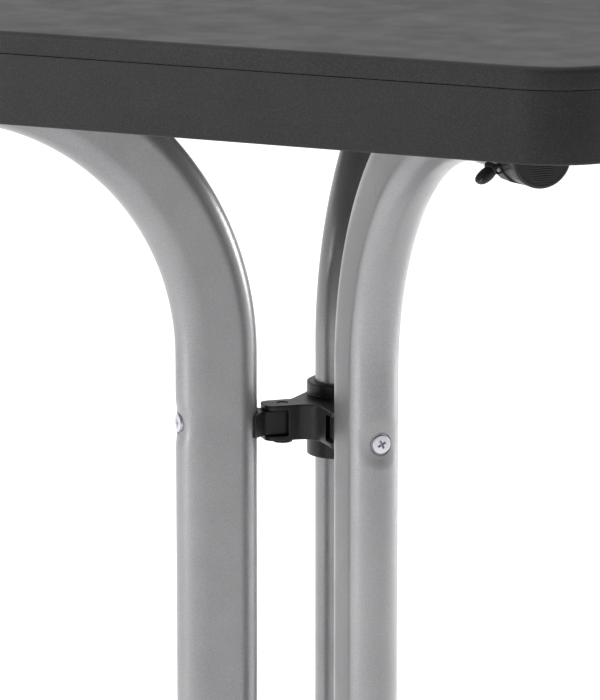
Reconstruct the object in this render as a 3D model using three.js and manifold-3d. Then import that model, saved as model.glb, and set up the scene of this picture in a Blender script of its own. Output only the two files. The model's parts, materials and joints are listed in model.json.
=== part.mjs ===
// Three-legged folding table with a flip-up top: three.js model, millimetres, +Z up.
//
// The table stands on Z = 0 with the top's outline centred on the Z axis. The user sits at -Y.
// One leg points to the rear and is clamped in the hub. The two front legs swing on upright pins
// in the hub's forks, and the top flips up about a cross pin through the rear leg's arm.
import * as THREE from "three";
import * as BufferGeometryUtils from "three/addons/utils/BufferGeometryUtils.js";
import Module from "manifold-3d";

const wasm = await Module();
wasm.setup();

// ---------------------------------------------------------------- driving dimensions
const GAP = 0.3; // left between pieces that touch
const HEIGHT = 735;

// Tabletop
const TOP_W = 570;
const TOP_D = 570;
const TOP_CORNER = 50;
const BOARD_T = 13;
const SKIRT_H = 42;
const SKIRT_T = 4;
const BOARD_Z = HEIGHT - BOARD_T; // underside of the board
const HUB_Y = 251 - TOP_D / 2; // the hub lies 251 behind the front edge

// Flat-oval leg tube: the wide way lies in the plane of the bends
const TUBE_W = 52;
const TUBE_T = 32;
const WALL = 1.8;
const BEND_R = 183; // to the centre line
const ARM_Z = 691; // centre line of the arms under the top
const BEND_Z = ARM_Z - BEND_R; // the upright part ends here
const FLARE_Z = 250; // and the lower bend starts here
const FLARE = THREE.MathUtils.degToRad(70);
const FOOT_RUN = 140; // straight stretch at the foot
const SIDE_R = 71; // front legs, hub centre to upright
const REAR_R = 35; // rear leg, hub centre to upright
const ARM_RUN = 73; // straight arm past the top bend
const SIDE_ANGLE = THREE.MathUtils.degToRad(43.5); // front legs point this far forward of the X axis
const SWING = THREE.MathUtils.degToRad(42); // each front leg, from open to folded

// Hub
const HUB_Z = 463;
const SCREW_Z = 466; // front hub screws, above the middle of the tongues
const FORK_H = 22.6;
const FORK_HALF = 9.5; // half the width of a fork arm
const FORK_PAST = 13; // from the hinge pin to the arm's end
const FORK_CORNER = 6;
const CROTCH_R = 12;
const TONGUE_H = 15.4;
const SLOT_H = 16.2;
const TONGUE_R = 6.5;
const PIN_R = 3.2;
const PIN_REACH = 27.5; // hub centre to hinge pin
const COLLAR_WALL = 5;
const COLLAR_LOW = 28; // collar's ends below and above the hub height
const COLLAR_HIGH = 19;

// Flip hinge of the top
const FLIP_REACH = REAR_R + BEND_R + ARM_RUN - 10; // the rear arm ends 10 past the flip pin
const FLIP_Y = HUB_Y + FLIP_REACH;
const FLIP_PIN_R = 4;
const CHEEK_T = 4;
const CHEEK_X = TUBE_T / 2 + 0.6; // inner face of each cheek plate

// Arm strap and finger lever
const STRAP_AT = 302; // hub centre to the strap, along the arm
const STRAP_W = 14.4;
const STRAP_T = 3.2;
const LEVER_W = 9.6;
const LEVER_OUT = 17.3; // lever pin, out from the arm's centre plane
const LEVER_Z = 671.5;
const LEVER_PIN_R = 1.2;
const KNUCKLE_R = 2.8;
const TAB_OUT = 26; // the finger tab's tip
const TAB_Z = 664.5;
const TAB_T = 3;

// ---------------------------------------------------------------- finishes
const finish = (color, roughness, metalness = 0) =>
  new THREE.MeshStandardMaterial({ color, roughness, metalness });
const BLACK = finish(0x38373b, 0.55);
const TOP_BLACK = finish(0x3c3b40, 0.5);
const SILVER = finish(0xb4b4b8, 0.42, 0.6);
const ZINC = finish(0xc4c5c8, 0.3, 1);
const STEEL = finish(0x8f9196, 0.35, 1);
const RUBBER = finish(0x232326, 0.85);

// ---------------------------------------------------------------- solids
function solid(geometry) {
  const bare = geometry.index ? geometry.toNonIndexed() : geometry.clone();
  bare.deleteAttribute("normal");
  bare.deleteAttribute("uv");
  const merged = BufferGeometryUtils.mergeVertices(bare, 1e-4);
  return new wasm.Manifold(
    new wasm.Mesh({
      numProp: 3,
      vertProperties: merged.attributes.position.array,
      triVerts: new Uint32Array(merged.index.array),
    }),
  );
}

function geometryOf(manifold) {
  const mesh = manifold.getMesh();
  const geometry = new THREE.BufferGeometry();
  geometry.setAttribute("position", new THREE.BufferAttribute(mesh.vertProperties, 3));
  geometry.setIndex(new THREE.BufferAttribute(mesh.triVerts, 1));
  return geometry;
}

const join = (...geometries) =>
  geometryOf(geometries.map(solid).reduce((whole, next) => whole.add(next)));
const cut = (geometry, ...tools) =>
  geometryOf(tools.map(solid).reduce((whole, tool) => whole.subtract(tool), solid(geometry)));

// ---------------------------------------------------------------- outlines and bodies
// Rounded rectangle centred on the origin
function roundedRect(outline, width, height, radius) {
  const x = width / 2 - radius;
  const y = height / 2 - radius;
  outline.moveTo(-x, -y - radius);
  outline.lineTo(x, -y - radius);
  outline.absarc(x, -y, radius, -Math.PI / 2, 0, false);
  outline.absarc(x, y, radius, 0, Math.PI / 2, false);
  outline.absarc(-x, y, radius, Math.PI / 2, Math.PI, false);
  outline.absarc(-x, -y, radius, Math.PI, Math.PI * 1.5, false);
  return outline;
}

// Flat oval, wide along x
function oval(outline, width, thickness) {
  const radius = thickness / 2;
  const x = width / 2 - radius;
  outline.moveTo(-x, -radius);
  outline.lineTo(x, -radius);
  outline.absarc(x, 0, radius, -Math.PI / 2, Math.PI / 2, false);
  outline.lineTo(-x, radius);
  outline.absarc(-x, 0, radius, Math.PI / 2, Math.PI * 1.5, false);
  return outline;
}

const ovalShape = (width, thickness) => oval(new THREE.Shape(), width, thickness);

function polygon(points) {
  return new THREE.Shape(points.map(([x, y]) => new THREE.Vector2(x, y)));
}

// Prism from z = low to z = high over a plan outline
function prism(shape, low, high, curveSegments = 8, bevel = 0) {
  const body = new THREE.ExtrudeGeometry(shape, {
    depth: high - low - 2 * bevel,
    curveSegments,
    bevelEnabled: bevel > 0,
    bevelThickness: bevel,
    bevelSize: bevel,
    bevelOffset: -bevel,
    bevelSegments: 2,
  });
  return body.translate(0, 0, low + bevel);
}

function upright(radius, low, high, x = 0, y = 0, segments = 20) {
  const rod = new THREE.CylinderGeometry(radius, radius, high - low, segments);
  return rod.rotateX(Math.PI / 2).translate(x, y, (low + high) / 2);
}

// Rod along +X from one x to another
function crossRod(radius, from, to, segments = 20) {
  const rod = new THREE.CylinderGeometry(radius, radius, to - from, segments);
  return rod.rotateZ(Math.PI / 2).translate((from + to) / 2, 0, 0);
}

function block(x0, x1, y0, y1, z0, z1) {
  const body = new THREE.BoxGeometry(x1 - x0, y1 - y0, z1 - z0);
  return body.translate((x0 + x1) / 2, (y0 + y1) / 2, (z0 + z1) / 2);
}

// Turned part along +X from a list of [x, radius] points that starts and ends on the axis
function turned(points, segments = 20) {
  const profile = points.map(([x, radius]) => new THREE.Vector2(radius, x));
  return new THREE.LatheGeometry(profile, segments).rotateZ(-Math.PI / 2);
}

// ---------------------------------------------------------------- legs
// Every leg is built pointing along +X from the hub centre and then turned to its own direction.
class StationCurve extends THREE.Curve {
  constructor(stations) {
    super();
    this.stations = stations;
  }

  getSpacedPoints() {
    return this.stations.map((station) => station.point);
  }

  // Section x lies in the plane of the bends, section y across it
  computeFrenetFrames() {
    const tangents = this.stations.map((station) => station.heading);
    const binormals = tangents.map(() => new THREE.Vector3(0, 1, 0));
    const normals = tangents.map((tangent) => new THREE.Vector3(tangent.z, 0, -tangent.x));
    return { tangents, normals, binormals };
  }
}

function legStations(upright, arm) {
  const bend = (z, from, to, steps) =>
    Array.from({ length: steps + 1 }, (_, i) => {
      const a = THREE.MathUtils.lerp(from, to, i / steps);
      const point = new THREE.Vector3(upright + BEND_R * (1 + Math.cos(a)), 0, z + BEND_R * Math.sin(a));
      return { point, heading: new THREE.Vector3(-Math.sin(a), 0, Math.cos(a)) };
    });
  const top = bend(BEND_Z, Math.PI / 2, Math.PI, 18);
  const bottom = bend(FLARE_Z, Math.PI, Math.PI + FLARE, 13);
  const past = (station, run) => ({
    point: station.point.clone().addScaledVector(station.heading, run),
    heading: station.heading,
  });
  return [past(top[0], -arm), ...top, ...bottom, past(bottom.at(-1), FOOT_RUN)];
}

// Flat-oval rod along the arm, its wide way upright
function armRod(width, thickness, from, to) {
  return prism(ovalShape(width, thickness), from, to, 3).rotateY(Math.PI / 2).translate(0, 0, ARM_Z);
}

const SCREW_R = 3;
const SCREW_HEAD_R = 5.7;
const SCREW_HEAD_H = 3;
const SCREW_TIP = 33; // front hub screws, from the hub centre

// Pressed seat for a screw head in the outer edge of an upright, and the through hole
function screwSeat(tube, upright) {
  const edge = upright + TUBE_W / 2;
  const at = (rod) => rod.translate(0, 0, SCREW_Z);
  const cup = at(crossRod(SCREW_HEAD_R + 2, edge - 6, edge + 1));
  const outline = prism(ovalShape(TUBE_W, TUBE_T), SCREW_Z - 10, SCREW_Z + 10, 3).translate(upright, 0, 0);
  const filled = solid(tube).add(solid(cup).intersect(solid(outline)));
  return geometryOf(
    filled
      .subtract(solid(at(crossRod(SCREW_HEAD_R + 0.5, edge - 3.6, edge + 2))))
      .subtract(solid(at(crossRod(SCREW_R + 0.3, upright - TUBE_W, edge + 2, 20)))),
  );
}

function legTube(upright, arm, seated) {
  const stations = legStations(upright, arm);
  const section = ovalShape(TUBE_W, TUBE_T);
  section.holes.push(oval(new THREE.Path(), TUBE_W - 2 * WALL, TUBE_T - 2 * WALL));
  const tube = new THREE.ExtrudeGeometry(section, {
    steps: stations.length - 1,
    curveSegments: 3,
    extrudePath: new StationCurve(stations),
  });
  return seated ? screwSeat(tube, upright) : tube;
}

function footCap(upright) {
  const end = legStations(upright, ARM_RUN).at(-1).point;
  const place = (body) => body.rotateY(Math.PI - FLARE).translate(end.x, 0, end.z);
  const sleeve = place(prism(ovalShape(TUBE_W + 5, TUBE_T + 5), -34, 4, 3));
  const pocket = place(prism(ovalShape(TUBE_W + 2 * GAP, TUBE_T + 2 * GAP), -60, GAP, 3));
  const plan = roundedRect(new THREE.Shape(), 40, TUBE_T + 3, 9);
  const sole = prism(plan, 0, 22, 3, 1).translate(end.x - 21, 0, 0);
  return cut(join(sleeve, sole), pocket);
}

function armCap(end) {
  const shell = armRod(TUBE_W + 4, TUBE_T + 4, end - 16, end + 3.6);
  const pocket = armRod(TUBE_W + 2 * GAP, TUBE_T + 2 * GAP, end - 17, end + GAP);
  const grooves = Array.from({ length: 14 }, (_, i) => {
    const z = ARM_Z + (i - 6.5) * 3.5;
    return block(end + 2.8, end + 5, -TUBE_T, TUBE_T, z - 0.7, z + 0.7);
  });
  return cut(shell, pocket, ...grooves);
}

// Plug in the rear arm's end, bored for the flip pin
function armPlug(end) {
  const fill = 2 * (WALL + 0.4);
  const body = join(
    armRod(TUBE_W - fill, TUBE_T - fill, end - 26, end + 1),
    armRod(TUBE_W - 0.6, TUBE_T - 0.6, end + GAP, end + 2.2),
  );
  return cut(body, flipBore());
}

const flipBore = () =>
  upright(FLIP_PIN_R + 0.35, -40, 40, 0, 0, 16).rotateX(Math.PI / 2).translate(FLIP_Y - HUB_Y, 0, ARM_Z);

function tongue() {
  const plan = polygon([
    [PIN_REACH, -TONGUE_R],
    [41, -TONGUE_R],
    [50, -13.6],
    [50, 13.6],
    [41, TONGUE_R],
    [PIN_REACH, TONGUE_R],
  ]);
  const low = HUB_Z - TONGUE_H / 2;
  const high = HUB_Z + TONGUE_H / 2;
  const tube = ovalShape(TUBE_W + 2 * GAP, TUBE_T + 2 * GAP);
  return cut(
    join(prism(plan, low, high), upright(TONGUE_R, low, high, PIN_REACH, 0)),
    prism(tube, low - 1, high + 1, 6).translate(SIDE_R, 0, 0),
    upright(PIN_R + GAP, low - 1, high + 1, PIN_REACH, 0, 16),
    crossRod(SCREW_R + GAP, SCREW_TIP - 0.6, 60, 16).translate(0, 0, SCREW_Z),
  );
}

// Cross-head screw along +X: tip, outer face of the head, and height
function hubScrew(tip, face, z) {
  const seat = face - SCREW_HEAD_H;
  const body = turned([
    [tip, 0],
    [tip, SCREW_R - 0.7],
    [tip + 1, SCREW_R],
    [seat, SCREW_R],
    [seat, SCREW_HEAD_R],
    [face - 1, SCREW_HEAD_R - 0.2],
    [face - 0.3, SCREW_HEAD_R - 1.6],
    [face, SCREW_HEAD_R - 3.2],
    [face, 0],
  ]);
  const slots = [
    block(face - 1.9, face + 1, -3.3, 3.3, -0.65, 0.65),
    block(face - 1.9, face + 1, -0.65, 0.65, -3.3, 3.3),
  ];
  return cut(body, ...slots).translate(0, 0, z);
}

function swingPin() {
  const low = HUB_Z - FORK_H / 2;
  return join(
    upright(PIN_R, low - 1, HUB_Z + FORK_H / 2 - 0.4, PIN_REACH, 0, 16),
    upright(6.3, low - 2.3, low - GAP, PIN_REACH, 0, 16),
  );
}

// ---------------------------------------------------------------- arm strap and finger lever
// The strap is an open spring band round the arm. It opens on the side that faces the user,
// which is y = facing * (a positive distance), and the lever turns on a pin at its lower end.
const leverRod = (radius, half, facing) =>
  crossRod(radius, STRAP_AT - half, STRAP_AT + half, 16).translate(0, facing * LEVER_OUT, LEVER_Z);

function armStrap(facing) {
  const half = STRAP_W / 2;
  const grow = 2 * (GAP + STRAP_T);
  const band = armRod(TUBE_W + grow, TUBE_T + grow, STRAP_AT - half, STRAP_AT + half);
  const inner = armRod(TUBE_W + 2 * GAP, TUBE_T + 2 * GAP, STRAP_AT - 20, STRAP_AT + 20);
  const [y0, y1] = [facing * 4, facing * 40].sort((a, b) => a - b);
  const opening = block(STRAP_AT - 20, STRAP_AT + 20, y0, y1, LEVER_Z, ARM_Z + 12);
  const ends = cut(join(cut(band, opening), leverRod(KNUCKLE_R, half, facing)), inner);
  return cut(
    ends,
    leverRod(KNUCKLE_R + 1.1, LEVER_W / 2 + 0.4, facing),
    leverRod(LEVER_PIN_R + GAP, half + 2, facing),
  );
}

// Finger tab that runs down and outwards from its knuckle
function fingerLever(facing) {
  const half = LEVER_W / 2;
  const run = Math.hypot(TAB_OUT - LEVER_OUT, LEVER_Z - TAB_Z);
  const slope = Math.atan2(TAB_Z - LEVER_Z, facing * (TAB_OUT - LEVER_OUT));
  const tab = prism(ovalShape(run + TAB_T / 2, TAB_T), -half, half, 4)
    .translate((run - TAB_T / 2) / 2, 0, 0)
    .rotateZ(slope)
    .rotateX(Math.PI / 2)
    .rotateZ(Math.PI / 2)
    .translate(STRAP_AT, facing * LEVER_OUT, LEVER_Z);
  return cut(
    join(tab, leverRod(KNUCKLE_R, half, facing)),
    leverRod(LEVER_PIN_R + GAP, LEVER_W, facing),
  );
}

// ---------------------------------------------------------------- hub
function tubeColumn(grow, low, high) {
  const column = prism(ovalShape(TUBE_W + grow, TUBE_T + grow), low, high, 16);
  return column.rotateZ(Math.PI / 2).translate(0, REAR_R, 0);
}

const FRONT_DIRECTIONS = { right: -SIDE_ANGLE, left: Math.PI + SIDE_ANGLE };
const COLLAR_SPLIT = REAR_R + 6;
const collarSolid = () => tubeColumn(2 * (COLLAR_WALL + GAP), HUB_Z - COLLAR_LOW, HUB_Z + COLLAR_HIGH);

function hubBody() {
  const low = HUB_Z - FORK_H / 2;
  const high = HUB_Z + FORK_H / 2;
  const reach = PIN_REACH + FORK_PAST;
  const plan = roundedRect(new THREE.Shape(), reach + 8, 2 * FORK_HALF, FORK_CORNER);
  const arm = (direction) =>
    prism(plan, low, high, 8).translate((reach - 8) / 2, 0, 0).rotateZ(direction);
  const opening = Math.PI / 2 - SIDE_ANGLE; // half the angle between the fork arms
  const apex = -FORK_HALF / Math.sin(opening);
  const fillet = new THREE.Shape();
  fillet.absarc(0, apex - CROTCH_R / Math.sin(opening), CROTCH_R, Math.PI - opening, opening, true);
  fillet.lineTo(0, -8);
  const crotch = prism(fillet, low, high, 8);
  const saddle = block(-20, 20, -6, 24, low, high);
  const directions = Object.values(FRONT_DIRECTIONS);
  const body = join(collarSolid(), saddle, crotch, ...directions.map(arm));

  const slotLow = HUB_Z - SLOT_H / 2;
  const slotHigh = HUB_Z + SLOT_H / 2;
  const cuts = Object.entries(FRONT_DIRECTIONS).flatMap(([side, direction]) => {
    const swing = side === "right" ? -SWING : SWING;
    const x = PIN_REACH * Math.cos(direction);
    const y = PIN_REACH * Math.sin(direction);
    const sweep = [0, 0.25, 0.5, 0.75, 1].map((share) =>
      block(0, 34, -TONGUE_R - 0.9, TONGUE_R + 0.9, slotLow, slotHigh)
        .rotateZ(direction + share * swing)
        .translate(x, y, 0),
    );
    return [
      upright(TONGUE_R + 0.9, slotLow, slotHigh, x, y),
      upright(PIN_R + GAP, low - 1, high + 1, x, y, 16),
      ...sweep,
    ];
  });
  return cut(
    body,
    tubeColumn(2 * GAP, HUB_Z - 60, HUB_Z + 60),
    block(-40, 40, COLLAR_SPLIT - GAP / 2, 90, HUB_Z - 60, HUB_Z + 60),
    rearScrewRod(SCREW_R + GAP, REAR_TIP - 1, 40),
    ...cuts,
  );
}

const REAR_TIP = -7;
const REAR_FACE = REAR_R + TUBE_W / 2 + COLLAR_WALL;
const rearScrewRod = (radius, from, to) =>
  crossRod(radius, from, to, 16).rotateZ(Math.PI / 2).translate(0, 0, HUB_Z);

function hubClamp() {
  return cut(
    collarSolid(),
    tubeColumn(2 * GAP, HUB_Z - 60, HUB_Z + 60),
    block(-40, 40, -60, COLLAR_SPLIT + GAP / 2, HUB_Z - 60, HUB_Z + 60),
    rearScrewRod(SCREW_R + GAP, 0, 90),
    rearScrewRod(SCREW_HEAD_R + 0.5, REAR_FACE - SCREW_HEAD_H - GAP, 90),
  );
}

// ---------------------------------------------------------------- top
const BOSS_PLACES = [-1, 1].flatMap((side) => [
  [side * 120, -TOP_D / 2 + 10.5],
  [side * 120, TOP_D / 2 - 10.5],
  [side * (TOP_W / 2 - 10.5), 40],
]);
const BOSS_FOOT = 706;
const SCREW_TOP = BOARD_Z + 8; // tips of the wood screws
const BRACKET_HOLES = [-1, 1].flatMap((side) => [-1, 1].map((end) => [side * 30, FLIP_Y + end * 20]));
const facingOf = { right: -1, left: 1 };

// Point at a distance along a front arm and to one side of it, in the table's frame
function onArm(side, along, across) {
  return new THREE.Vector3(along, across, 0)
    .applyAxisAngle(new THREE.Vector3(0, 0, 1), FRONT_DIRECTIONS[side])
    .add(new THREE.Vector3(0, HUB_Y, 0));
}

const KEEPER_Y = 25; // keeper's centre, out from the arm's centre plane
const KEEPER_LOW = 709;
const KEEPER_HOLES = ["left", "right"].flatMap((side) =>
  [-9, 9].map((shift) => {
    const at = onArm(side, STRAP_AT + shift, facingOf[side] * (KEEPER_Y + 1));
    return [at.x, at.y];
  }),
);

function board() {
  const plan = roundedRect(new THREE.Shape(), TOP_W, TOP_D, TOP_CORNER);
  const pilots = [...BOSS_PLACES, ...BRACKET_HOLES, ...KEEPER_HOLES].map(([x, y]) =>
    upright(2.3, BOARD_Z - 1, BOARD_Z + 9, x, y, 10),
  );
  return cut(prism(plan, BOARD_Z, HEIGHT, 4, 2.5), ...pilots);
}

function skirt() {
  const low = BOARD_Z - SKIRT_H;
  const high = BOARD_Z - GAP;
  const plan = roundedRect(new THREE.Shape(), TOP_W - 1, TOP_D - 1, TOP_CORNER - 0.5);
  const inset = 1 + 2 * SKIRT_T;
  const hole = roundedRect(new THREE.Shape(), TOP_W - inset, TOP_D - inset, TOP_CORNER - inset / 2);
  const bosses = BOSS_PLACES.map(([x, y]) => upright(6.5, BOSS_FOOT, high, x, y, 16));
  const bores = BOSS_PLACES.map(([x, y]) => upright(2.5, BOSS_FOOT - 1, high + 1, x, y, 10));
  return cut(join(cut(prism(plan, low, high, 4), prism(hole, low - 1, high + 1, 4)), ...bosses), ...bores);
}

// Pan-head wood screw pointing up: underside of the piece it holds, and its tip
function woodScrew([x, y], seat, tip) {
  return turned([
    [seat - 2.6, 0],
    [seat - 2.6, 2.4],
    [seat - 1.6, 3.9],
    [seat - GAP, 4.1],
    [seat - GAP, 2],
    [tip - 3, 2],
    [tip, 0],
  ], 12)
    .rotateY(-Math.PI / 2)
    .translate(x, y, 0);
}

function flipBracket(side) {
  const high = BOARD_Z - GAP;
  const inner = side * CHEEK_X;
  const outer = side * (CHEEK_X + CHEEK_T);
  const [x0, x1] = [inner, outer].sort((a, b) => a - b);
  const profile = new THREE.Shape();
  profile.moveTo(-26, high);
  profile.lineTo(-10.5, ARM_Z);
  profile.absarc(0, ARM_Z, 10.5, Math.PI, 2 * Math.PI, false);
  profile.lineTo(26, high);
  const cheek = new THREE.ExtrudeGeometry(profile, { depth: x1 - x0, curveSegments: 8, bevelEnabled: false })
    .rotateX(Math.PI / 2)
    .rotateZ(Math.PI / 2)
    .translate(x0, FLIP_Y, 0);
  const [f0, f1] = [inner, side * (CHEEK_X + 27)].sort((a, b) => a - b);
  const flange = block(f0, f1, FLIP_Y - 30, FLIP_Y + 30, high - 3.5, high);
  const bore = crossRod(FLIP_PIN_R + GAP, -60, 60, 24).translate(0, FLIP_Y, ARM_Z);
  const holes = BRACKET_HOLES.map(([x, y]) => upright(2.5, high - 10, high + 1, x, y, 10));
  return cut(join(cheek, flange), bore, ...holes);
}

const PIN_HALF = CHEEK_X + CHEEK_T + 1;
const CLIP_GROOVE = 3.1; // radius at the bottom of the groove

function flipPin() {
  const groove = PIN_HALF - 0.4;
  return turned([
    [-PIN_HALF - 2, 0],
    [-PIN_HALF - 2, 5.4],
    [-PIN_HALF - 1.4, 6.2],
    [-PIN_HALF + 0.6, 6.2],
    [-PIN_HALF + 0.6, FLIP_PIN_R],
    [groove, FLIP_PIN_R],
    [groove, CLIP_GROOVE],
    [groove + 1.4, CLIP_GROOVE],
    [groove + 1.4, FLIP_PIN_R],
    [groove + 3.4, FLIP_PIN_R - 0.4],
    [groove + 4, FLIP_PIN_R - 1],
    [groove + 4, 0],
  ]).translate(0, FLIP_Y, ARM_Z);
}

// E-shaped retaining clip in the pin's groove, open downwards
function retainingClip() {
  const from = PIN_HALF - 0.4 + 0.2;
  const ring = crossRod(6.6, from, from + 1, 24);
  const bore = crossRod(CLIP_GROOVE + 0.25, from - 1, from + 2, 20);
  const mouth = block(from - 1, from + 2, -2.6, 2.6, -8, 0);
  return cut(ring, bore, mouth).translate(0, FLIP_Y, ARM_Z);
}

function keeper(side) {
  const facing = facingOf[side];
  const at = onArm(side, STRAP_AT, facing * KEEPER_Y);
  const plan = roundedRect(new THREE.Shape(), 30, 12, 4);
  const body = prism(plan, KEEPER_LOW, BOARD_Z - GAP, 4)
    .rotateZ(FRONT_DIRECTIONS[side])
    .translate(at.x, at.y, 0);
  const holes = KEEPER_HOLES.map(([x, y]) => upright(2.5, KEEPER_LOW - 1, BOARD_Z, x, y, 10));
  return cut(body, ...holes);
}

function restPad(side) {
  const at = onArm(side, SIDE_R + BEND_R + 8, 0);
  return prism(roundedRect(new THREE.Shape(), 16, 22, 3), ARM_Z + TUBE_W / 2 + 0.5, BOARD_Z - GAP, 3)
    .rotateZ(FRONT_DIRECTIONS[side])
    .translate(at.x, at.y, 0);
}

// ---------------------------------------------------------------- assembly
const table = new THREE.Group();

function piece(parent, name, geometry, material) {
  const mesh = new THREE.Mesh(geometry, material);
  mesh.name = name;
  parent.add(mesh);
}

function legGroup(direction) {
  const group = new THREE.Group();
  group.position.y = HUB_Y;
  group.rotation.z = direction;
  table.add(group);
  return group;
}

for (const [side, direction] of Object.entries(FRONT_DIRECTIONS)) {
  const leg = legGroup(direction);
  const facing = facingOf[side];
  const edge = SIDE_R + TUBE_W / 2;
  piece(leg, `${side}_leg_tube`, legTube(SIDE_R, ARM_RUN, true), SILVER);
  piece(leg, `${side}_foot_cap`, footCap(SIDE_R), BLACK);
  piece(leg, `${side}_arm_cap`, armCap(SIDE_R + BEND_R + ARM_RUN), BLACK);
  piece(leg, `${side}_tongue`, tongue(), BLACK);
  piece(leg, `${side}_hub_screw`, hubScrew(SCREW_TIP, edge - 0.3, SCREW_Z), ZINC);
  piece(leg, `${side}_swing_pin`, swingPin(), BLACK);
  piece(leg, `${side}_arm_strap`, armStrap(facing), BLACK);
  piece(leg, `${side}_finger_lever`, fingerLever(facing), BLACK);
  piece(leg, `${side}_lever_pin`, leverRod(LEVER_PIN_R, STRAP_W / 2, facing), STEEL);
  piece(table, `${side}_rest_pad`, restPad(side), RUBBER);
  piece(table, `${side}_keeper`, keeper(side), BLACK);
}

const rearLeg = legGroup(Math.PI / 2);
const rearTube = cut(
  legTube(REAR_R, ARM_RUN, false),
  flipBore(),
  crossRod(SCREW_R + GAP, 0, REAR_FACE + 9, 16).translate(0, 0, HUB_Z),
);
piece(rearLeg, "rear_leg_tube", rearTube, SILVER);
piece(rearLeg, "rear_foot_cap", footCap(REAR_R), BLACK);
piece(rearLeg, "rear_arm_plug", armPlug(REAR_R + BEND_R + ARM_RUN), BLACK);
piece(rearLeg, "rear_hub_screw", hubScrew(REAR_TIP, REAR_FACE, HUB_Z), ZINC);

const hub = new THREE.Group();
hub.position.y = HUB_Y;
table.add(hub);
piece(hub, "hub_body", hubBody(), BLACK);
piece(hub, "hub_clamp", hubClamp(), BLACK);

piece(table, "tabletop_board", board(), TOP_BLACK);
piece(table, "tabletop_skirt", skirt(), TOP_BLACK);
piece(table, "right_flip_bracket", flipBracket(1), STEEL);
piece(table, "left_flip_bracket", flipBracket(-1), STEEL);
piece(table, "flip_pin", flipPin(), STEEL);
piece(table, "flip_pin_clip", retainingClip(), STEEL);

const flangeFace = BOARD_Z - GAP - 3.5;
BOSS_PLACES.forEach((at, i) => piece(table, `skirt_screw_${i + 1}`, woodScrew(at, BOSS_FOOT, SCREW_TOP), ZINC));
BRACKET_HOLES.forEach((at, i) =>
  piece(table, `bracket_screw_${i + 1}`, woodScrew(at, flangeFace, SCREW_TOP), ZINC),
);
KEEPER_HOLES.forEach((at, i) => piece(table, `keeper_screw_${i + 1}`, woodScrew(at, KEEPER_LOW, SCREW_TOP), ZINC));

export default table;
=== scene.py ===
import json
import math

import bmesh
import bpy
from mathutils import Matrix, Vector

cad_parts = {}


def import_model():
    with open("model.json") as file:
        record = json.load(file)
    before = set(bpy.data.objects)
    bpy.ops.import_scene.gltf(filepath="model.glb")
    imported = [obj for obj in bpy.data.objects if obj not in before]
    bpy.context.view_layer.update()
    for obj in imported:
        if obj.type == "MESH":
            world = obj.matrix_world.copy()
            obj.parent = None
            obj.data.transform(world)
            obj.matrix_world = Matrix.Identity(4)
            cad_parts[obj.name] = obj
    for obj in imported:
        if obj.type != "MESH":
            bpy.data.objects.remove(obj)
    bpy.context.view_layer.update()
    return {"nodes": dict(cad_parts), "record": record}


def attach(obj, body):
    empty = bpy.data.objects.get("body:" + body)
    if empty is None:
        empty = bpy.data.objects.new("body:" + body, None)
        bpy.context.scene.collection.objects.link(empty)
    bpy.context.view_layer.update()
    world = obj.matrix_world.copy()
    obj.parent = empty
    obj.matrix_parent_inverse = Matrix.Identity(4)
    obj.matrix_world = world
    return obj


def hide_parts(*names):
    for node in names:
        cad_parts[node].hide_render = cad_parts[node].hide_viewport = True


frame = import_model()

# ---------------------------------------------------------------- sizes (mm)
HEIGHT = 735
TOP_SIZE = 570
TOP_CORNER = 50
BOARD_Z = 722
BOARD_UNDER_R = 1.0  # roundings of the board's lower and upper edges
BOARD_UPPER_R = 3.5
BOARD_FLAT = 6  # inset of the outlines that close the board's two faces
SKIRT_Z = 680
SKIRT_T = 4
SKIRT_INSET = 0.5
SKIRT_LIP_R = 1.7
SEAM = 0.3  # between board and skirt
HUB_Y = -34
HUB_Z = 463
SCREW_Z = 466
TUBE_W = 52
TUBE_T = 32
WALL = 1.8
BEND_R = 183
ARM_Z = 691
BEND_Z = ARM_Z - BEND_R
FLARE_Z = 250
FLARE = math.radians(70)
FOOT_RUN = 140
ARM_RUN = 73
SIDE_R = 71
REAR_R = 35
SIDE_ANGLE = math.radians(43.5)
LEG_TURN = {"right": -SIDE_ANGLE, "left": math.pi + SIDE_ANGLE, "rear": math.pi / 2}
LEG_BODY = {"right": "right_leg", "left": "left_leg", "rear": "rear_frame"}
LEG_R = {"right": SIDE_R, "left": SIDE_R, "rear": REAR_R}

# Steps along a tube, from the arm to the foot
ARM_STEPS = 8
BEND_STEPS = 64
SEAT_STEPS = 72
SEAT_BAND = 20  # the steps are fine this far above and below the screw
UPRIGHT_STEPS = 16
FLARE_STEPS = 48
FOOT_STEPS = 10

# Screw bosses under the board, turned about an upright axis
BOSS_FOOT = 706
BOSS_TOP = BOARD_Z - SEAM
BOSS_R = 6.5
BOSS_BORE = 2.4  # radius of the hole
BOSS_EDGE = TOP_SIZE / 2 - 10.5
BOSS_APART = 120
BOSS_SIDE_Y = 40
BOSS_PLACES = [(x, y) for x in (-BOSS_APART, BOSS_APART) for y in (-BOSS_EDGE, BOSS_EDGE)]
BOSS_PLACES += [(-BOSS_EDGE, BOSS_SIDE_Y), (BOSS_EDGE, BOSS_SIDE_Y)]

# Arm caps
CAP_WALL = 2
CAP_DEPTH = 16
CAP_FACE = SIDE_R + BEND_R + ARM_RUN + 3.6
CAP_FLOOR = 3.2  # from the outer face back to the inner one
CAP_FIT = 0.6  # how much wider the inside is than the tube
CAP_ROUND = 1.6
CAP_EDGE = 0.6  # the outside narrows by this over CAP_RIM at the open end
CAP_RIM = 0.4
RIB_PITCH = 1.3
RIB_HEIGHT = 0.28
RIB_RINGS = 60

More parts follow.
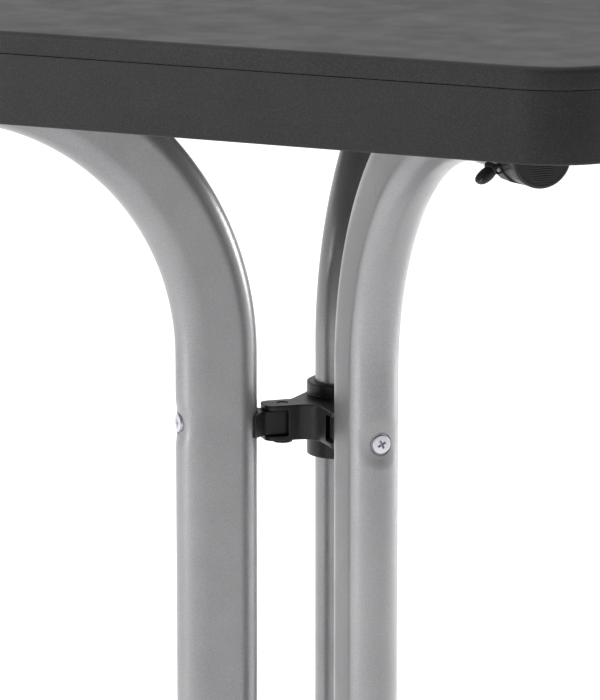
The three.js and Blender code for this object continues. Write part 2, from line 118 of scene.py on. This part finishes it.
# Arm strap and finger tab
STRAP_AT = 302
LEVER_OUT = 17.3
LEVER_Z = 671.5
TAB_OUT = 26
TAB_Z = 664.5
TAB_HALF_W = 5.4
TAB_HALF_T = 1.6
TAB_SWELL = 1.6  # added to the half thickness at mid length
TAB_ROOT = 0.8  # starts this far back from the lever's pin
TAB_PAST = 2.4

# Foot caps
SOLE_BACK = 21  # from the tube's end back to the sole's centre
SOLE_X = 11  # centres of the sole's corners
SOLE_Y = 8.5
SOLE_CORNER = 9
SOLE_TOP = 22

# Hub screws
SHANK_R = 3
SHANK_TIP_R = 2.3
HEAD_T = 3
HEAD_R = 5.7
HEAD_FACE = SIDE_R + TUBE_W / 2 - 0.3
REAR_HEAD_FACE = REAR_R + TUBE_W / 2 + 5
RECESS_DEPTH = 2.6
RECESS_ARM = 3.2
RECESS_WIDTH = 0.8
RECESS_TAPER = 0.4
RECESS_LEAST = 0.42
SEAT_DEPTH = 3.4  # pressed into the outer edge of the tube
SEAT_IN = 6.1
SEAT_OUT = 7.0
HOLLOW_DEPTH = 1.1  # wider, softer hollow around the seat
HOLLOW_IN = 5
HOLLOW_OUT = 17


# ---------------------------------------------------------------- mesh helpers
def new_object(name, verts, faces, place=None):
    """A smooth mesh object from millimetre points, each first moved by the matrix `place`."""
    mesh = bpy.data.meshes.new(name)
    points = [place @ Vector(v) if place else Vector(v) for v in verts]
    mesh.from_pydata([p * 0.001 for p in points], [], faces)
    bm = bmesh.new()
    bm.from_mesh(mesh)
    bmesh.ops.remove_doubles(bm, verts=bm.verts, dist=1e-7)
    bmesh.ops.recalc_face_normals(bm, faces=bm.faces)
    bm.to_mesh(mesh)
    bm.free()
    mesh.polygons.foreach_set("use_smooth", [True] * len(mesh.polygons))
    obj = bpy.data.objects.new(name, mesh)
    bpy.context.scene.collection.objects.link(obj)
    return obj


def baked(obj):
    """Replaces the object's mesh with the result of its modifiers."""
    depsgraph = bpy.context.evaluated_depsgraph_get()
    mesh = bpy.data.meshes.new_from_object(obj.evaluated_get(depsgraph))
    obj.modifiers.clear()
    obj.data = mesh
    return obj


def sharpen(obj, degrees):
    """Smooth shading, except over edges that turn by more than the angle."""
    mesh = obj.data
    bm = bmesh.new()
    bm.from_mesh(mesh)
    limit = math.radians(degrees)
    for edge in bm.edges:
        edge.smooth = len(edge.link_faces) != 2 or edge.calc_face_angle(0.0) < limit
    for face in bm.faces:
        face.smooth = True
    bm.to_mesh(mesh)
    bm.free()
    return obj


def boolean(obj, tool, operation="DIFFERENCE"):
    """Cuts the tool out of the object, or joins it on, and removes the tool."""
    modifier = obj.modifiers.new("boolean", "BOOLEAN")
    modifier.operation = operation
    modifier.solver = "EXACT"
    modifier.object = tool
    baked(obj)
    bpy.data.objects.remove(tool)
    return obj


def loft(name, rings, closed_rows=False, place=None):
    """Skin over equal rings: capped at both ends, or with the last ring joined to the first."""
    count = len(rings[0])
    verts = [p for ring in rings for p in ring]
    faces = []
    rows = len(rings) if closed_rows else len(rings) - 1
    for i in range(rows):
        a = i * count
        b = (i + 1) % len(rings) * count
        for j in range(count):
            k = (j + 1) % count
            faces.append((a + j, a + k, b + k, b + j))
    if not closed_rows:
        faces.append(tuple(range(count)))
        faces.append(tuple(range(len(verts) - count, len(verts))))
    return new_object(name, verts, faces, place)


def oval_ring(width, thickness, arc=24, flat=10):
    """Flat oval outline, wide along x, starting at its +x tip."""
    radius = thickness / 2
    x = width / 2 - radius
    points = []
    for i in range(arc):
        a = -math.pi / 2 + math.pi * i / arc
        points.append((x + radius * math.cos(a), radius * math.sin(a)))
    for i in range(flat):
        points.append((x - 2 * x * i / flat, radius))
    for i in range(arc):
        a = math.pi / 2 + math.pi * i / arc
        points.append((-x + radius * math.cos(a), radius * math.sin(a)))
    for i in range(flat):
        points.append((-x + 2 * x * i / flat, -radius))
    return points


def plan_ring(inset, z, steps=28, flat=12):
    """The tabletop's rounded square at one height, drawn in by `inset`."""
    half = TOP_SIZE / 2 - TOP_CORNER
    radius = TOP_CORNER - inset
    points = []
    for quarter, (cx, cy) in enumerate(((half, half), (-half, half), (-half, -half), (half, -half))):
        for i in range(steps + 1):
            a = math.pi / 2 * (quarter + i / steps)
            points.append((cx + radius * math.cos(a), cy + radius * math.sin(a), z))
        x, y = points[-1][:2]
        for i in range(1, flat):
            run = 2 * half * i / flat
            points.append((x - run * math.sin(a), y + run * math.cos(a), z))
    return points


def lathe(name, profile, place, segments=48):
    """Turned body about its own x axis from (x, radius) pairs."""
    rings = []
    for x, radius in profile:
        radius = max(radius, 0.001)
        ring = []
        for i in range(segments):
            a = 2 * math.pi * i / segments
            ring.append((x, radius * math.cos(a), radius * math.sin(a)))
        rings.append(ring)
    return loft(name, rings, place=place)


def leg_place(side):
    """A leg's own frame: x runs out from the hub along the arm, z is up."""
    return Matrix.Translation((0, HUB_Y, 0)) @ Matrix.Rotation(LEG_TURN[side], 4, "Z")


# ---------------------------------------------------------------- leg tubes
def stations(upright, fine):
    """(x, z, heading x, heading z) from the arm's end to the foot."""
    rows = []

    def bend(z, start, end, steps):
        for i in range(steps + 1):
            a = start + (end - start) * i / steps
            x = upright + BEND_R * (1 + math.cos(a))
            rows.append((x, z + BEND_R * math.sin(a), -math.sin(a), math.cos(a)))

    for i in range(ARM_STEPS):
        rows.append((upright + BEND_R + ARM_RUN * (1 - i / ARM_STEPS), ARM_Z, -1.0, 0.0))
    bend(BEND_Z, math.pi / 2, math.pi, BEND_STEPS)
    low = BEND_Z
    if fine:
        low, high = SCREW_Z - SEAT_BAND, SCREW_Z + SEAT_BAND
        for i in range(SEAT_STEPS + 1):
            rows.append((upright, high + (low - high) * i / SEAT_STEPS, 0.0, -1.0))
    for i in range(1, UPRIGHT_STEPS):
        rows.append((upright, low + (FLARE_Z - low) * i / UPRIGHT_STEPS, 0.0, -1.0))
    bend(FLARE_Z, math.pi, math.pi + FLARE, FLARE_STEPS)
    x, z, hx, hz = rows[-1]
    for i in range(1, FOOT_STEPS + 1):
        run = FOOT_RUN * i / FOOT_STEPS
        rows.append((x + hx * run, z + hz * run, hx, hz))
    return rows


def across(station, section, run=0.0):
    """A section's points across a tube at a station, carried on by `run` along its heading."""
    x, z, hx, hz = station
    return [(x + hx * run - hz * u, v, z + hz * run + hx * u) for u, v in section]


def smoothstep(low, high, value):
    """0 below `low`, 1 above `high`, with a smooth rise between them."""
    t = min(max((value - low) / (high - low), 0.0), 1.0)
    return t * t * (3 - 2 * t)


def pressed(point, upright):
    """Moves a point of the tube's outer edge in where the screw head's seat is pressed."""
    x, y, z = point
    if x < upright:
        return point
    away = math.hypot(y, z - SCREW_Z)
    edge = upright + TUBE_W / 2
    x -= HOLLOW_DEPTH * (1 - smoothstep(HOLLOW_IN, HOLLOW_OUT, away))
    sunk = 1 - smoothstep(SEAT_IN, SEAT_OUT, away)
    return (x + (min(x, edge - SEAT_DEPTH) - x) * sunk, y, z)


def leg_tube(side):
    upright = LEG_R[side]
    seated = side != "rear"
    rows = stations(upright, seated)
    arc = 88 if seated else 40
    outer = oval_ring(TUBE_W, TUBE_T, arc)
    inner = oval_ring(TUBE_W - 2 * WALL, TUBE_T - 2 * WALL, arc)
    rings = [across(row, outer) for row in rows]
    if seated:
        rings = [[pressed(p, upright) for p in ring] for ring in rings]
    rings += [across(row, inner) for row in reversed(rows)]
    return sharpen(loft(f"{side}_tube", rings, closed_rows=True, place=leg_place(side)), 40)


# ---------------------------------------------------------------- tabletop
def arc_points(cx, cy, radius, start, end, steps):
    """Points along an arc between two angles in degrees."""
    points = []
    for i in range(steps + 1):
        a = math.radians(start + (end - start) * i / steps)
        points.append((cx + radius * math.cos(a), cy + radius * math.sin(a)))
    return points


UPWARD = Matrix.Rotation(-math.pi / 2, 4, "Y")  # turns a lathe's own x axis up
BOSS_PROFILE = [(BOSS_FOOT, BOSS_BORE), (BOSS_FOOT, 5.7), (BOSS_FOOT + 0.25, 6.3)]
BOSS_PROFILE += [(BOSS_FOOT + 0.8, BOSS_R), (BOSS_TOP, BOSS_R), (BOSS_TOP, BOSS_BORE)]


def board():
    under = BOARD_UNDER_R
    upper = BOARD_UPPER_R
    profile = [(BOARD_FLAT, BOARD_Z), (under + 0.2, BOARD_Z)]
    profile += arc_points(under, BOARD_Z + under, under, 270, 180, 4)
    profile += arc_points(upper, HEIGHT - upper, upper, 180, 90, 10)
    profile += [(BOARD_FLAT, HEIGHT)]
    rings = [plan_ring(inset, z) for inset, z in profile]
    return sharpen(loft("top_board", rings), 30)


def skirt():
    """Upright wall with a rounded lower lip, and the bosses for its screws."""
    inside = SKIRT_INSET + SKIRT_T
    lip = SKIRT_LIP_R
    profile = [(SKIRT_INSET, BOARD_Z - SEAM), (SKIRT_INSET, (BOARD_Z + SKIRT_Z) / 2)]
    profile += arc_points(SKIRT_INSET + lip, SKIRT_Z + lip, lip, 180, 270, 6)
    profile += arc_points(inside - lip, SKIRT_Z + lip, lip, 270, 360, 6)
    profile += [(inside, BOARD_Z - SEAM)]
    rings = [plan_ring(inset, z) for inset, z in profile]
    obj = loft("top_skirt", rings, closed_rows=True)
    for x, y in BOSS_PLACES:
        boss = lathe("boss", BOSS_PROFILE, Matrix.Translation((x, y, 0)) @ UPWARD)
        boolean(obj, boss, "UNION")
    return sharpen(obj, 30)


# ---------------------------------------------------------------- screws
def cross_recess(at, place, turn):
    """Two tapered bars for the recess of a screw head; their own x axis is the screw's."""
    spin = place @ Matrix.Rotation(turn, 4, "X")
    tools = []
    for y, z in ((RECESS_ARM, RECESS_WIDTH), (RECESS_WIDTH, RECESS_ARM)):
        rings = []
        for x, shrink in ((at - RECESS_DEPTH, RECESS_TAPER), (at + 0.6, 1.0)):
            ys = max(y * shrink, RECESS_LEAST)
            zs = max(z * shrink, RECESS_LEAST)
            rings.append([(x, -ys, -zs), (x, ys, -zs), (x, ys, zs), (x, -ys, zs)])
        tools.append(loft("recess", rings, place=spin))
    return tools


def hub_screw(side, tip, face, z, turn):
    """Pan-head screw along its leg's x axis, from its tip to the face of its head."""
    place = leg_place(side) @ Matrix.Translation((0, 0, z))
    seat = face - HEAD_T
    profile = [(tip, 0), (tip, SHANK_TIP_R), (tip + 1, SHANK_R), (seat, SHANK_R)]
    profile += [(seat, HEAD_R - 0.25), (seat + 0.25, HEAD_R), (seat + 2.3, HEAD_R)]
    for i in range(1, 7):
        a = math.radians(90 * i / 6)
        profile.append((face - 0.45 + 0.3 * math.sin(a), HEAD_R - 0.5 + 0.5 * math.cos(a)))
    profile += [(face, 2.6), (face, 0)]
    screw = lathe(f"{side}_head_screw", profile, place, 64)
    for tool in cross_recess(face, place, turn):
        boolean(screw, tool)
    return sharpen(screw, 28)


# ---------------------------------------------------------------- arm caps and finger tabs
def arm_cap(side):
    """Ribbed cap over the arm's end, built along +x with its wide way upright."""

    def ring(x, grow, ribs=0.0):
        points = []
        for u, v in oval_ring(TUBE_W + grow, TUBE_T + grow, arc=56, flat=64):
            wave = RIB_HEIGHT * ribs * (0.5 - 0.5 * math.cos(2 * math.pi * u / RIB_PITCH))
            points.append((x - wave, v, ARM_Z + u))
        return points

    outer = 2 * CAP_WALL
    face_grow = outer - 2 * CAP_ROUND
    span = TUBE_T + face_grow
    floor_x = CAP_FACE - CAP_FLOOR
    rings = [ring(floor_x, CAP_FIT - span * 0.97), ring(floor_x, CAP_FIT)]
    rings += [ring(floor_x - CAP_RIM - CAP_DEPTH, CAP_FIT)]
    rings += [ring(floor_x - CAP_RIM - CAP_DEPTH, outer - CAP_EDGE), ring(floor_x - CAP_DEPTH, outer)]
    for i in range(7):
        a = math.radians(90 * i / 6)
        x = CAP_FACE - CAP_ROUND + CAP_ROUND * math.sin(a)
        rings.append(ring(x, outer - 2 * CAP_ROUND * (1 - math.cos(a))))
    for i in range(1, RIB_RINGS):
        shrink = span * i / RIB_RINGS
        rings.append(ring(CAP_FACE, face_grow - shrink, smoothstep(0, 2, shrink)))
    return sharpen(loft(f"{side}_cap", rings, place=leg_place(side)), 50)


def finger_tab(side):
    """Rounded paddle that runs down and outwards from its knuckle on the strap."""
    facing = -1 if side == "right" else 1
    reach = Vector((0, facing * (TAB_OUT - LEVER_OUT), TAB_Z - LEVER_Z))
    length = reach.length + TAB_PAST
    along = reach.normalized()
    up = Vector((1, 0, 0)).cross(along)
    start = Vector((STRAP_AT, facing * LEVER_OUT, LEVER_Z)) - along * TAB_ROOT
    rings = []
    rows = 36
    for i in range(rows + 1):
        t = 0.5 - 0.5 * math.cos(math.pi * i / rows)
        swell = (1 - abs(2 * t - 1) ** 5) ** 0.5
        half_width = max(TAB_HALF_W * swell, 0.01)
        middle = TAB_HALF_T + TAB_SWELL * math.sin(math.pi * t)
        half_thick = max(middle * swell ** 0.8, 0.01)
        ring = []
        for j in range(48):
            a = 2 * math.pi * j / 48
            wide = half_width * math.copysign(abs(math.cos(a)) ** 0.6, math.cos(a))
            thick = half_thick * math.copysign(abs(math.sin(a)) ** 0.8, math.sin(a))
            p = start + along * (length * t) + Vector((wide, 0, 0)) + up * thick
            ring.append(tuple(p))
        rings.append(ring)
    return sharpen(loft(f"{side}_tab", rings, place=leg_place(side)), 60)


# ---------------------------------------------------------------- moulded pieces
def softened(obj, voxel, rounds):
    """Gives a solid the soft edges of a moulding."""
    remesh = obj.modifiers.new("remesh", "REMESH")
    remesh.mode = "VOXEL"
    remesh.voxel_size = voxel * 0.001
    soften = obj.modifiers.new("soften", "SMOOTH")
    soften.factor = 0.5
    soften.iterations = rounds
    thin = obj.modifiers.new("thin", "DECIMATE")
    thin.ratio = 0.3
    baked(obj)
    obj.data.materials.clear()
    obj.data.polygons.foreach_set("use_smooth", [True] * len(obj.data.polygons))
    return obj


def moulded(name, node, voxel, rounds):
    """A soft-edged copy of the CAD node's own solid."""
    obj = bpy.data.objects.new(name, frame["nodes"][node].data.copy())
    bpy.context.scene.collection.objects.link(obj)
    return softened(obj, voxel, rounds)


def foot_cap(side):
    """Sleeve over the leg's end with a flat sole under it."""
    end_station = stations(LEG_R[side], False)[-1]
    place = leg_place(side)

    def rod(grow, start, end, rim):
        rings = []
        for run, inset in ((start, rim), (start + rim, 0), (end - rim, 0), (end, rim)):
            section = oval_ring(TUBE_W + grow - 2 * inset, TUBE_T + grow - 2 * inset, arc=32)
            rings.append(across(end_station, section, run))
        return loft("rod", rings, place=place)

    middle = end_station[0] - SOLE_BACK
    corners = ((SOLE_X, SOLE_Y), (-SOLE_X, SOLE_Y), (-SOLE_X, -SOLE_Y), (SOLE_X, -SOLE_Y))
    sole = []
    for height, inset in ((0, 1.2), (0.8, 0.3), (1.6, 0), (SOLE_TOP, 0)):
        ring = []
        for turn, (cx, cy) in enumerate(corners):
            for i in range(13):
                a = math.pi / 2 * (turn + i / 12)
                radius = SOLE_CORNER - inset
                ring.append((middle + cx + radius * math.cos(a), cy + radius * math.sin(a), height))
        sole.append(ring)
    cap = rod(5, -34, 4, 1.2)
    cap.name = f"{side}_foot"
    boolean(cap, loft("sole", sole, place=place), "UNION")
    boolean(cap, rod(0.6, -60, 0.3, 0.01))
    return softened(cap, 0.6, 5)


# ---------------------------------------------------------------- materials
class Graph:
    """Thin wrapper over a material's node tree."""

    def __init__(self, name):
        self.material = bpy.data.materials.new(name)
        self.material.use_nodes = True
        self.tree = self.material.node_tree
        self.tree.nodes.clear()
        self.output = self.tree.nodes.new("ShaderNodeOutputMaterial")
        self.bsdf = self.tree.nodes.new("ShaderNodeBsdfPrincipled")
        self.link(self.bsdf.outputs[0], self.output.inputs[0])
        self.coords = self.tree.nodes.new("ShaderNodeTexCoord").outputs["Object"]

    def link(self, a, b):
        self.tree.links.new(a, b)

    def put(self, socket, value):
        """Links a node's output to the socket, or sets a plain value on it."""
        if isinstance(value, bpy.types.NodeSocket):
            self.link(value, socket)
        else:
            socket.default_value = value

    def mapped(self, scale):
        node = self.tree.nodes.new("ShaderNodeMapping")
        node.inputs["Scale"].default_value = scale
        self.link(self.coords, node.inputs["Vector"])
        return node.outputs[0]

    def noise(self, scale, detail=3.0, roughness=0.5, vector=None):
        node = self.tree.nodes.new("ShaderNodeTexNoise")
        node.inputs["Scale"].default_value = scale
        node.inputs["Detail"].default_value = detail
        node.inputs["Roughness"].default_value = roughness
        self.link(vector or self.coords, node.inputs["Vector"])
        return node.outputs["Fac"]

    def voronoi(self, scale):
        node = self.tree.nodes.new("ShaderNodeTexVoronoi")
        node.inputs["Scale"].default_value = scale
        self.link(self.coords, node.inputs["Vector"])
        return node.outputs["Distance"]

    def span(self, value, low, high, to_low, to_high):
        node = self.tree.nodes.new("ShaderNodeMapRange")
        node.inputs["From Min"].default_value = low
        node.inputs["From Max"].default_value = high
        node.inputs["To Min"].default_value = to_low
        node.inputs["To Max"].default_value = to_high
        self.link(value, node.inputs["Value"])
        return node.outputs[0]

    def math(self, operation, a, b):
        node = self.tree.nodes.new("ShaderNodeMath")
        node.operation = operation
        self.put(node.inputs[0], a)
        self.put(node.inputs[1], b)
        return node.outputs[0]

    def mix(self, share, a, b):
        node = self.tree.nodes.new("ShaderNodeMix")
        node.data_type = "RGBA"
        self.put(node.inputs["Factor"], share)
        self.put(node.inputs[6], a)
        self.put(node.inputs[7], b)
        return node.outputs[2]

    def bump(self, height, strength, distance, normal=None):
        node = self.tree.nodes.new("ShaderNodeBump")
        node.inputs["Strength"].default_value = strength
        node.inputs["Distance"].default_value = distance
        self.link(height, node.inputs["Height"])
        if normal:
            self.link(normal, node.inputs["Normal"])
        return node.outputs[0]

    def finish(self, color, roughness, normal, metallic=0.0, specular=0.5):
        self.put(self.bsdf.inputs["Base Color"], color)
        self.put(self.bsdf.inputs["Roughness"], roughness)
        self.put(self.bsdf.inputs["Normal"], normal)
        self.put(self.bsdf.inputs["Metallic"], metallic)
        self.put(self.bsdf.inputs["Specular IOR Level"], specular)
        return self.material


def gray(value, tint=0.0):
    """A gray that leans towards blue by `tint`."""
    return (value * (1 - tint * 0.5), value * (1 - tint * 0.5), value * (1 + tint), 1.0)


def silver_paint():
    g = Graph("silver_paint")
    cloud = g.noise(9, 4)
    flake = g.noise(2600, 1.5, 0.6)
    scratch = g.noise(60, 5, 0.7, g.mapped((3.0, 3.0, 0.25)))
    base = g.mix(g.span(cloud, 0.35, 0.65, 0, 1), gray(0.212, 0.02), gray(0.242, 0.015))
    base = g.mix(g.span(flake, 0.45, 0.7, 0, 0.45), base, gray(0.46, 0.01))
    worn = g.span(scratch, 0.66, 0.72, 0, 0.35)
    base = g.mix(worn, base, gray(0.17, 0.02))
    rough = g.span(g.noise(35, 4), 0.3, 0.7, 0.28, 0.38)
    rough = g.math("ADD", rough, g.span(worn, 0, 0.35, 0, 0.12))
    peel = g.bump(g.noise(420, 2, 0.5), 0.10, 0.0004)
    normal = g.bump(flake, 0.10, 0.0001, peel)
    return g.finish(base, rough, normal, metallic=0.62, specular=0.5)


def moulding(name, low, high, rough_low, rough_high, grain_scale, grain, speckle):
    """Fine-grained moulded plastic with faint dust, rubbed patches and flow streaks."""
    g = Graph(name)
    cloud = g.noise(14, 4)
    speck = g.noise(1500, 2, 0.6)
    streak = g.noise(18, 5, 0.6, g.mapped((1.0, 1.0, 5.0)))
    base = g.mix(g.span(cloud, 0.35, 0.65, 0, 1), gray(low, 0.04), gray(high, 0.05))
    base = g.mix(g.span(speck, 0.5, 0.75, 0, speckle), base, gray(high * 3, 0.05))
    base = g.mix(g.span(streak, 0.6, 0.75, 0, 0.25), base, gray(high * 1.6, 0.03))
    rough = g.span(g.noise(40, 4), 0.3, 0.7, rough_low, rough_high)
    fine = g.bump(g.voronoi(grain_scale), grain, 0.0002)
    normal = g.bump(g.noise(130, 3), 0.05, 0.0005, fine)
    return g.finish(base, rough, normal, specular=0.26)


def plated(name, color, rough_low, rough_high, brushed):
    g = Graph(name)
    cloud = g.noise(60, 4)
    brush = g.noise(300, 4, 0.6, g.mapped(brushed))
    base = g.mix(g.span(cloud, 0.3, 0.7, 0, 1), gray(color, 0.05), gray(color * 0.86, 0.06))
    base = g.mix(g.span(g.noise(700, 3), 0.66, 0.78, 0, 0.5), base, gray(color * 0.45, 0.0))
    rough = g.span(brush, 0.3, 0.7, rough_low, rough_high)
    return g.finish(base, rough, g.bump(brush, 0.08, 0.0002), metallic=1.0)


def rubber():
    g = Graph("rubber")
    base = g.mix(g.span(g.noise(50, 4), 0.35, 0.65, 0, 1), gray(0.016), gray(0.028))
    rough = g.span(g.noise(90, 3), 0.3, 0.7, 0.72, 0.9)
    return g.finish(base, rough, g.bump(g.noise(900, 3), 0.2, 0.0002), specular=0.3)


MATERIALS = {
    "silver_paint": silver_paint(),
    "black_plastic": moulding("black_plastic", 0.010, 0.014, 0.32, 0.42, 1700, 0.10, 0.4),
    "top_black": moulding("top_black", 0.008, 0.011, 0.46, 0.56, 1300, 0.35, 0.9),
    "zinc": plated("zinc", 0.62, 0.38, 0.52, (1, 1, 1)),
    "steel": plated("steel", 0.52, 0.28, 0.42, (1, 6, 1)),
    "rubber": rubber(),
}


replaced = set()


def paint(obj, slot):
    obj.data.materials.clear()
    obj.data.materials.append(MATERIALS[slot])


def dress(obj, slot):
    paint(obj, slot)
    return obj


def stand_for(obj, slot, body, *nodes):
    """Shows the object on a body in place of the CAD nodes."""
    dress(obj, slot)
    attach(obj, body)
    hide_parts(*nodes)
    replaced.update(nodes)


# ---------------------------------------------------------------- pieces
for side in LEG_TURN:
    stand_for(leg_tube(side), "silver_paint", LEG_BODY[side], f"{side}_leg_tube")
    stand_for(foot_cap(side), "black_plastic", LEG_BODY[side], f"{side}_foot_cap")

for side, turn in (("right", 27), ("left", 12)):
    screw = hub_screw(side, 33, HEAD_FACE, SCREW_Z, math.radians(turn))
    stand_for(screw, "zinc", f"{side}_leg", f"{side}_hub_screw")
    stand_for(arm_cap(side), "black_plastic", f"{side}_leg", f"{side}_arm_cap")
    for part, voxel in (("tongue", 0.4), ("arm_strap", 0.35), ("swing_pin", 0.35)):
        piece = moulded(f"{side}_{part}_moulding", f"{side}_{part}", voxel, 4)
        stand_for(piece, "black_plastic", f"{side}_leg", f"{side}_{part}")
    knuckle = moulded(f"{side}_knuckle", f"{side}_finger_lever", 0.25, 4)
    stand_for(knuckle, "black_plastic", f"{side}_lever", f"{side}_finger_lever")
    tab = dress(finger_tab(side), "black_plastic")
    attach(tab, f"{side}_lever")

rear_screw = hub_screw("rear", -7, REAR_HEAD_FACE, HUB_Z, 0.7)
stand_for(rear_screw, "zinc", "rear_frame", "rear_hub_screw")
for part in ("hub_body", "hub_clamp"):
    piece = moulded(f"{part}_moulding", part, 0.45, 6)
    stand_for(piece, "black_plastic", "rear_frame", part)

stand_for(board(), "top_black", "top", "tabletop_board")
stand_for(skirt(), "top_black", "top", "tabletop_skirt")

SLOT_OF = {entry["node"]: entry["material_slot"] for entry in frame["record"]["subparts"]}
for node, obj in frame["nodes"].items():
    if node not in replaced:
        paint(obj, SLOT_OF[node])


# ---------------------------------------------------------------- stage, light and camera
FLOOR_HALF = 16000
FLOOR_STEPS = 16


def floor():
    """White ground that glows faintly, so that it meets the surroundings without an edge."""
    pitch = 2 * FLOOR_HALF / FLOOR_STEPS
    row = FLOOR_STEPS + 1
    verts = [(-FLOOR_HALF + pitch * i, -FLOOR_HALF + pitch * j, 0) for i in range(row) for j in range(row)]
    faces = []
    for i in range(FLOOR_STEPS):
        for j in range(FLOOR_STEPS):
            a = i * row + j
            faces.append((a, a + 1, a + row + 1, a + row))
    obj = new_object("floor", verts, faces)
    g = Graph("floor_paper")
    base = g.mix(g.span(g.noise(3, 3), 0.4, 0.6, 0, 1), gray(0.90), gray(0.92))
    obj.data.materials.append(g.finish(base, 0.9, g.bump(g.noise(60, 2), 0.02, 0.001), specular=0.1))
    g.bsdf.inputs["Emission Color"].default_value = (1, 1, 1, 1)
    g.bsdf.inputs["Emission Strength"].default_value = 0.24


def area_light(name, at, aim, size, power):
    light = bpy.data.lights.new(name, "AREA")
    light.shape = "RECTANGLE"
    light.size, light.size_y = size
    light.energy = power
    obj = bpy.data.objects.new(name, light)
    obj.location = at
    obj.rotation_euler = (Vector(aim) - Vector(at)).to_track_quat("-Z", "Y").to_euler()
    bpy.context.scene.collection.objects.link(obj)


AWAY = (-0.42, 0.91, 0)  # from the camera to the back of the table


def world(front, back):
    """Plain white surroundings, dimmer on the camera's side than behind the table."""
    surroundings = bpy.data.worlds.new("studio")
    surroundings.use_nodes = True
    tree = surroundings.node_tree
    coords = tree.nodes.new("ShaderNodeTexCoord")
    facing = tree.nodes.new("ShaderNodeVectorMath")
    facing.operation = "DOT_PRODUCT"
    facing.inputs[1].default_value = AWAY
    tree.links.new(coords.outputs["Generated"], facing.inputs[0])
    span = tree.nodes.new("ShaderNodeMapRange")
    span.inputs["From Min"].default_value = -0.8
    span.inputs["From Max"].default_value = 0.8
    span.inputs["To Min"].default_value = front
    span.inputs["To Max"].default_value = back
    tree.links.new(facing.outputs["Value"], span.inputs["Value"])
    tree.links.new(span.outputs[0], tree.nodes["Background"].inputs["Strength"])
    tree.nodes["Background"].inputs["Color"].default_value = (1, 1, 1, 1)
    bpy.context.scene.world = surroundings


def overhead_sun(strength, spread):
    light = bpy.data.lights.new("overhead", "SUN")
    light.energy = strength
    light.angle = math.radians(spread)
    obj = bpy.data.objects.new("overhead", light)
    obj.rotation_euler = (math.radians(8), math.radians(-6), 0)
    bpy.context.scene.collection.objects.link(obj)


LENS = 238.95
CAMERA_AT = (1.2035, -2.6301, 1.1117)
CAMERA_DOWN = 11.948  # degrees below level
CAMERA_TURN = 25.172  # degrees from facing +Y, towards -X


def camera():
    data = bpy.data.cameras.new("photo_camera")
    data.sensor_width = 36
    data.lens = LENS
    data.clip_end = 100
    obj = bpy.data.objects.new("photo_camera", data)
    obj.location = CAMERA_AT
    obj.rotation_euler = (math.radians(90 - CAMERA_DOWN), 0, math.radians(CAMERA_TURN))
    bpy.context.scene.collection.objects.link(obj)
    bpy.context.scene.camera = obj


LIT_POINT = (0, 0, 0.5)

floor()
world(0.34, 0.95)
overhead_sun(1.2, 80)
area_light("left_softbox", (-2.1, -2.2, 1.4), LIT_POINT, (0.6, 2.2), 62)
area_light("right_rim", (1.7, 2.3, 1.2), LIT_POINT, (0.7, 2.0), 75)
camera()
bpy.context.scene.view_settings.view_transform = "Standard"
